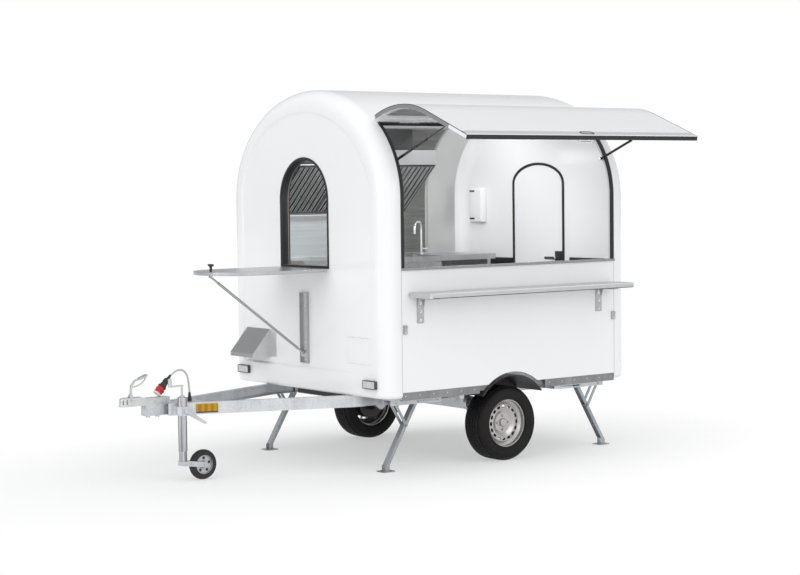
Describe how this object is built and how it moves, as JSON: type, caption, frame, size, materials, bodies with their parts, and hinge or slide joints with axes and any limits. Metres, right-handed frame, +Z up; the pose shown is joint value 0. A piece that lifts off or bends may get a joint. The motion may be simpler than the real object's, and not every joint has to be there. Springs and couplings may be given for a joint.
{
  "type": "food trailer",
  "caption": "Round-roofed single-axle food trailer with an opened serving hatch, folding counter, front window flap, corner steadies and a jockey wheel on its drawbar.",
  "frame": {"origin": "on the ground below the middle of the whole part as it stands opened", "axes": "+X rearwards along the trailer, the drawbar points to -X; the serving side faces -Y; +Z up"},
  "size_m": [3.735, 2.6552, 2.605],
  "materials": {
    "body_white": "glossy white gelcoat",
    "galvanised": "hot-dip galvanised, dull spangle",
    "stainless": "brushed stainless sheet",
    "seal_black": "matt black rubber profile",
    "tyre_black": "tyre rubber",
    "rim_silver": "silver painted steel",
    "black_plastic": "textured black plastic",
    "plug_red": "red plug collar, black grip",
    "lamp_lens": "clear, red and amber lenses",
    "chrome": "polished",
    "floor_grey": "coated floor board",
    "guard_black": "black moulded wheel box",
    "gas_black": "black lacquer",
    "cable_grey": "light grey cable sheath",
    "alloy": "satin anodised"
  },
  "bodies": {
    "trailer": {"chassis_frame": "galvanised", "skirt_rails": "alloy", "coupling_head": "galvanised", "torsion_axle": "galvanised", "mudguards": "guard_black", "floor_panel": "floor_grey", "roof_shell": "body_white", "serving_panel": "body_white", "front_end_cap": "body_white", "rear_end_cap": "body_white", "opening_seal": "seal_black", "sill_strip": "stainless", "hinge_rail": "body_white", "strut_studs": "chrome", "counter_fittings": "stainless", "flap_rail": "stainless", "window_seal": "seal_black", "vent_cowl": "stainless", "lamps": "lamp_lens", "cable_gland": "black_plastic", "range_hood": "stainless", "hood_filters": "stainless", "worktop": "stainless", "tap": "chrome", "steady_rails": "galvanised", "jockey_clamp": "galvanised", "supply_cable": "cable_grey", "supply_plug": "plug_red"},
    "handle": {"coupling_handle": "galvanised"},
    "wheel_left": {"rim_left": "rim_silver", "tyre_left": "tyre_black"},
    "wheel_right": {"rim_right": "rim_silver", "tyre_right": "tyre_black"},
    "hatch": {"serving_hatch": "body_white", "hatch_handle": "black_plastic"},
    "gas_cylinder_front": {"gas_cylinder_front": "gas_black"},
    "gas_cylinder_rear": {"gas_cylinder_rear": "gas_black"},
    "gas_rod_front": {"gas_rod_front": "chrome"},
    "gas_rod_rear": {"gas_rod_rear": "chrome"},
    "counter": {"serving_counter": "stainless"},
    "flap": {"front_flap": "stainless"},
    "flap_knob": {"flap_knob": "black_plastic"},
    "flap_strut": {"flap_strut": "stainless"},
    "access_door": {"access_door": "body_white"},
    "rear_door": {"rear_door": "body_white"},
    "door_handle": {"door_handle": "alloy"},
    "jockey_tube": {"jockey_tube": "galvanised"},
    "jockey_inner": {"jockey_inner_tube": "galvanised"},
    "jockey_fork": {"jockey_fork": "galvanised"},
    "jockey_wheel": {"jockey_wheel": "tyre_black"},
    "jockey_crank": {"jockey_crank": "galvanised"},
    "clamp_lever": {"clamp_lever": "galvanised"},
    "leg_front_left": {"steady_leg_front_left": "galvanised"},
    "brace_front_left": {"steady_strut_front_left": "galvanised"},
    "leg_front_right": {"steady_leg_front_right": "galvanised"},
    "brace_front_right": {"steady_strut_front_right": "galvanised"},
    "leg_rear_left": {"steady_leg_rear_left": "galvanised"},
    "brace_rear_left": {"steady_strut_rear_left": "galvanised"},
    "leg_rear_right": {"steady_leg_rear_right": "galvanised"},
    "brace_rear_right": {"steady_strut_rear_right": "galvanised"}
  },
  "joints": [
    {"name": "hatch_swing", "type": "hinge", "parent": "trailer", "child": "hatch", "pos_m": [0.7125, -0.32843, 2.37178], "axis": [1, 0, 0], "range_deg": [0, 68]},
    {"name": "gas_front_turn", "type": "hinge", "parent": "trailer", "child": "gas_cylinder_front", "pos_m": [-0.2125, -0.47241, 2.11], "axis": [1, 0, 0], "range_deg": [-0.5, 102.21]},
    {"name": "gas_front_stroke", "type": "slide", "parent": "gas_cylinder_front", "child": "gas_rod_front", "axis": [0, -0.9299, 0.3677], "range_m": [-0.18504, 0.0005]},
    {"name": "gas_rear_turn", "type": "hinge", "parent": "trailer", "child": "gas_cylinder_rear", "pos_m": [1.6375, -0.47241, 2.11], "axis": [1, 0, 0], "range_deg": [-0.5, 102.21]},
    {"name": "gas_rear_stroke", "type": "slide", "parent": "gas_cylinder_rear", "child": "gas_rod_rear", "axis": [0, -0.9299, 0.3677], "range_m": [-0.18504, 0.0005]},
    {"name": "counter_fold", "type": "hinge", "parent": "trailer", "child": "counter", "pos_m": [0.7125, -0.57441, 1.182], "axis": [1, 0, 0], "range_deg": [0, 90]},
    {"name": "flap_fold", "type": "hinge", "parent": "trailer", "child": "flap", "pos_m": [-0.4075, 0.38759, 1.358], "axis": [0, 1, 0], "range_deg": [0, 90]},
    {"name": "flap_strut_swing", "type": "hinge", "parent": "flap", "child": "flap_strut", "pos_m": [-1.1575, 0.38759, 1.334], "axis": [0, 1, 0], "range_deg": [-36.38, 0.5]},
    {"name": "flap_latch", "type": "hinge", "parent": "flap", "child": "flap_knob", "pos_m": [-1.1535, 0.38759, 1.358], "axis": [0, 0, 1], "range_deg": [0, 90]},
    {"name": "access_swing", "type": "hinge", "parent": "trailer", "child": "access_door", "pos_m": [-0.3915, -0.23241, 0.916], "axis": [0, 1, 0], "range_deg": [0, 80]},
    {"name": "door_swing", "type": "hinge", "parent": "trailer", "child": "rear_door", "pos_m": [1.8245, 0.68259, 1], "axis": [0, 0, 1], "range_deg": [0, 110]},
    {"name": "door_lever", "type": "hinge", "parent": "rear_door", "child": "door_handle", "pos_m": [1.8125, 0.15259, 1.37], "axis": [1, 0, 0], "range_deg": [-45, 0], "stiffness_Nm_per_rad": 4, "springref_deg": 20.05},
    {"name": "coupling_release", "type": "hinge", "parent": "trailer", "child": "handle", "pos_m": [-1.7835, 0.38759, 0.578], "axis": [0, 1, 0], "range_deg": [-40, 0]},
    {"name": "wheel_left_spin", "type": "hinge", "parent": "trailer", "child": "wheel_left", "pos_m": [0.7125, -0.40441, 0.263], "axis": [0, 1, 0], "continuous": true},
    {"name": "wheel_right_spin", "type": "hinge", "parent": "trailer", "child": "wheel_right", "pos_m": [0.7125, 1.17959, 0.263], "axis": [0, 1, 0], "continuous": true},
    {"name": "steady_front_left_fold", "type": "hinge", "parent": "trailer", "child": "brace_front_left", "pos_m": [-0.17227, -0.32541, 0.462], "axis": [0, 1, 0], "range_deg": [-55.8, 0]},
    {"name": "steady_front_left_knee", "type": "hinge", "parent": "brace_front_left", "child": "leg_front_left", "pos_m": [-0.0775, -0.32541, 0.30428], "axis": [0, 1, 0], "range_deg": [-0.2, 111.8]},
    {"name": "steady_front_right_fold", "type": "hinge", "parent": "trailer", "child": "brace_front_right", "pos_m": [-0.17227, 1.10059, 0.462], "axis": [0, 1, 0], "range_deg": [-55.8, 0]},
    {"name": "steady_front_right_knee", "type": "hinge", "parent": "brace_front_right", "child": "leg_front_right", "pos_m": [-0.0775, 1.10059, 0.30428], "axis": [0, 1, 0], "range_deg": [-0.2, 111.8]},
    {"name": "steady_rear_left_fold", "type": "hinge", "parent": "trailer", "child": "brace_rear_left", "pos_m": [1.69727, -0.32541, 0.462], "axis": [0, 1, 0], "range_deg": [0, 55.8]},
    {"name": "steady_rear_left_knee", "type": "hinge", "parent": "brace_rear_left", "child": "leg_rear_left", "pos_m": [1.6025, -0.32541, 0.30428], "axis": [0, 1, 0], "range_deg": [-111.8, 0.2]},
    {"name": "steady_rear_right_fold", "type": "hinge", "parent": "trailer", "child": "brace_rear_right", "pos_m": [1.69727, 1.10059, 0.462], "axis": [0, 1, 0], "range_deg": [0, 55.8]},
    {"name": "steady_rear_right_knee", "type": "hinge", "parent": "brace_rear_right", "child": "leg_rear_right", "pos_m": [1.6025, 1.10059, 0.30428], "axis": [0, 1, 0], "range_deg": [-111.8, 0.2]},
    {"name": "jockey_height", "type": "slide", "parent": "trailer", "child": "jockey_tube", "axis": [0, 0, 1], "range_m": [0, 0.15]},
    {"name": "jockey_crank_turn", "type": "hinge", "parent": "jockey_tube", "child": "jockey_crank", "pos_m": [-1.4875, 0.23259, 0.635], "axis": [0, 0, 1], "range_deg": [0, 3600]},
    {"name": "jockey_screw", "type": "slide", "parent": "jockey_tube", "child": "jockey_inner", "axis": [0, 0, 1], "range_m": [-0.0005, 0.0605]},
    {"name": "jockey_swivel", "type": "hinge", "parent": "jockey_inner", "child": "jockey_fork", "pos_m": [-1.4875, 0.23259, 0.135], "axis": [0, 0, 1], "continuous": true},
    {"name": "jockey_roll", "type": "hinge", "parent": "jockey_fork", "child": "jockey_wheel", "pos_m": [-1.3375, 0.23259, 0.1], "axis": [0, 1, 0], "continuous": true},
    {"name": "clamp_release", "type": "hinge", "parent": "trailer", "child": "clamp_lever", "pos_m": [-1.4875, 0.18259, 0.47], "axis": [0, 1, 0], "range_deg": [-60, 0]}
  ],
  "couplings": [
    {"joint": "gas_front_turn", "follows": "hatch_swing", "ratio": 1.4957},
    {"joint": "gas_front_stroke", "follows": "hatch_swing", "m_per_rad": -0.15549},
    {"joint": "gas_rear_turn", "follows": "hatch_swing", "ratio": 1.4957},
    {"joint": "gas_rear_stroke", "follows": "hatch_swing", "m_per_rad": -0.15549},
    {"joint": "flap_strut_swing", "follows": "flap_fold", "ratio": -0.39864},
    {"joint": "steady_front_left_knee", "follows": "steady_front_left_fold", "ratio": -2},
    {"joint": "steady_front_right_knee", "follows": "steady_front_right_fold", "ratio": -2},
    {"joint": "steady_rear_left_knee", "follows": "steady_rear_left_fold", "ratio": -2},
    {"joint": "steady_rear_right_knee", "follows": "steady_rear_right_fold", "ratio": -2},
    {"joint": "jockey_screw", "follows": "jockey_crank_turn", "m_per_rad": 0.000955}
  ]
}
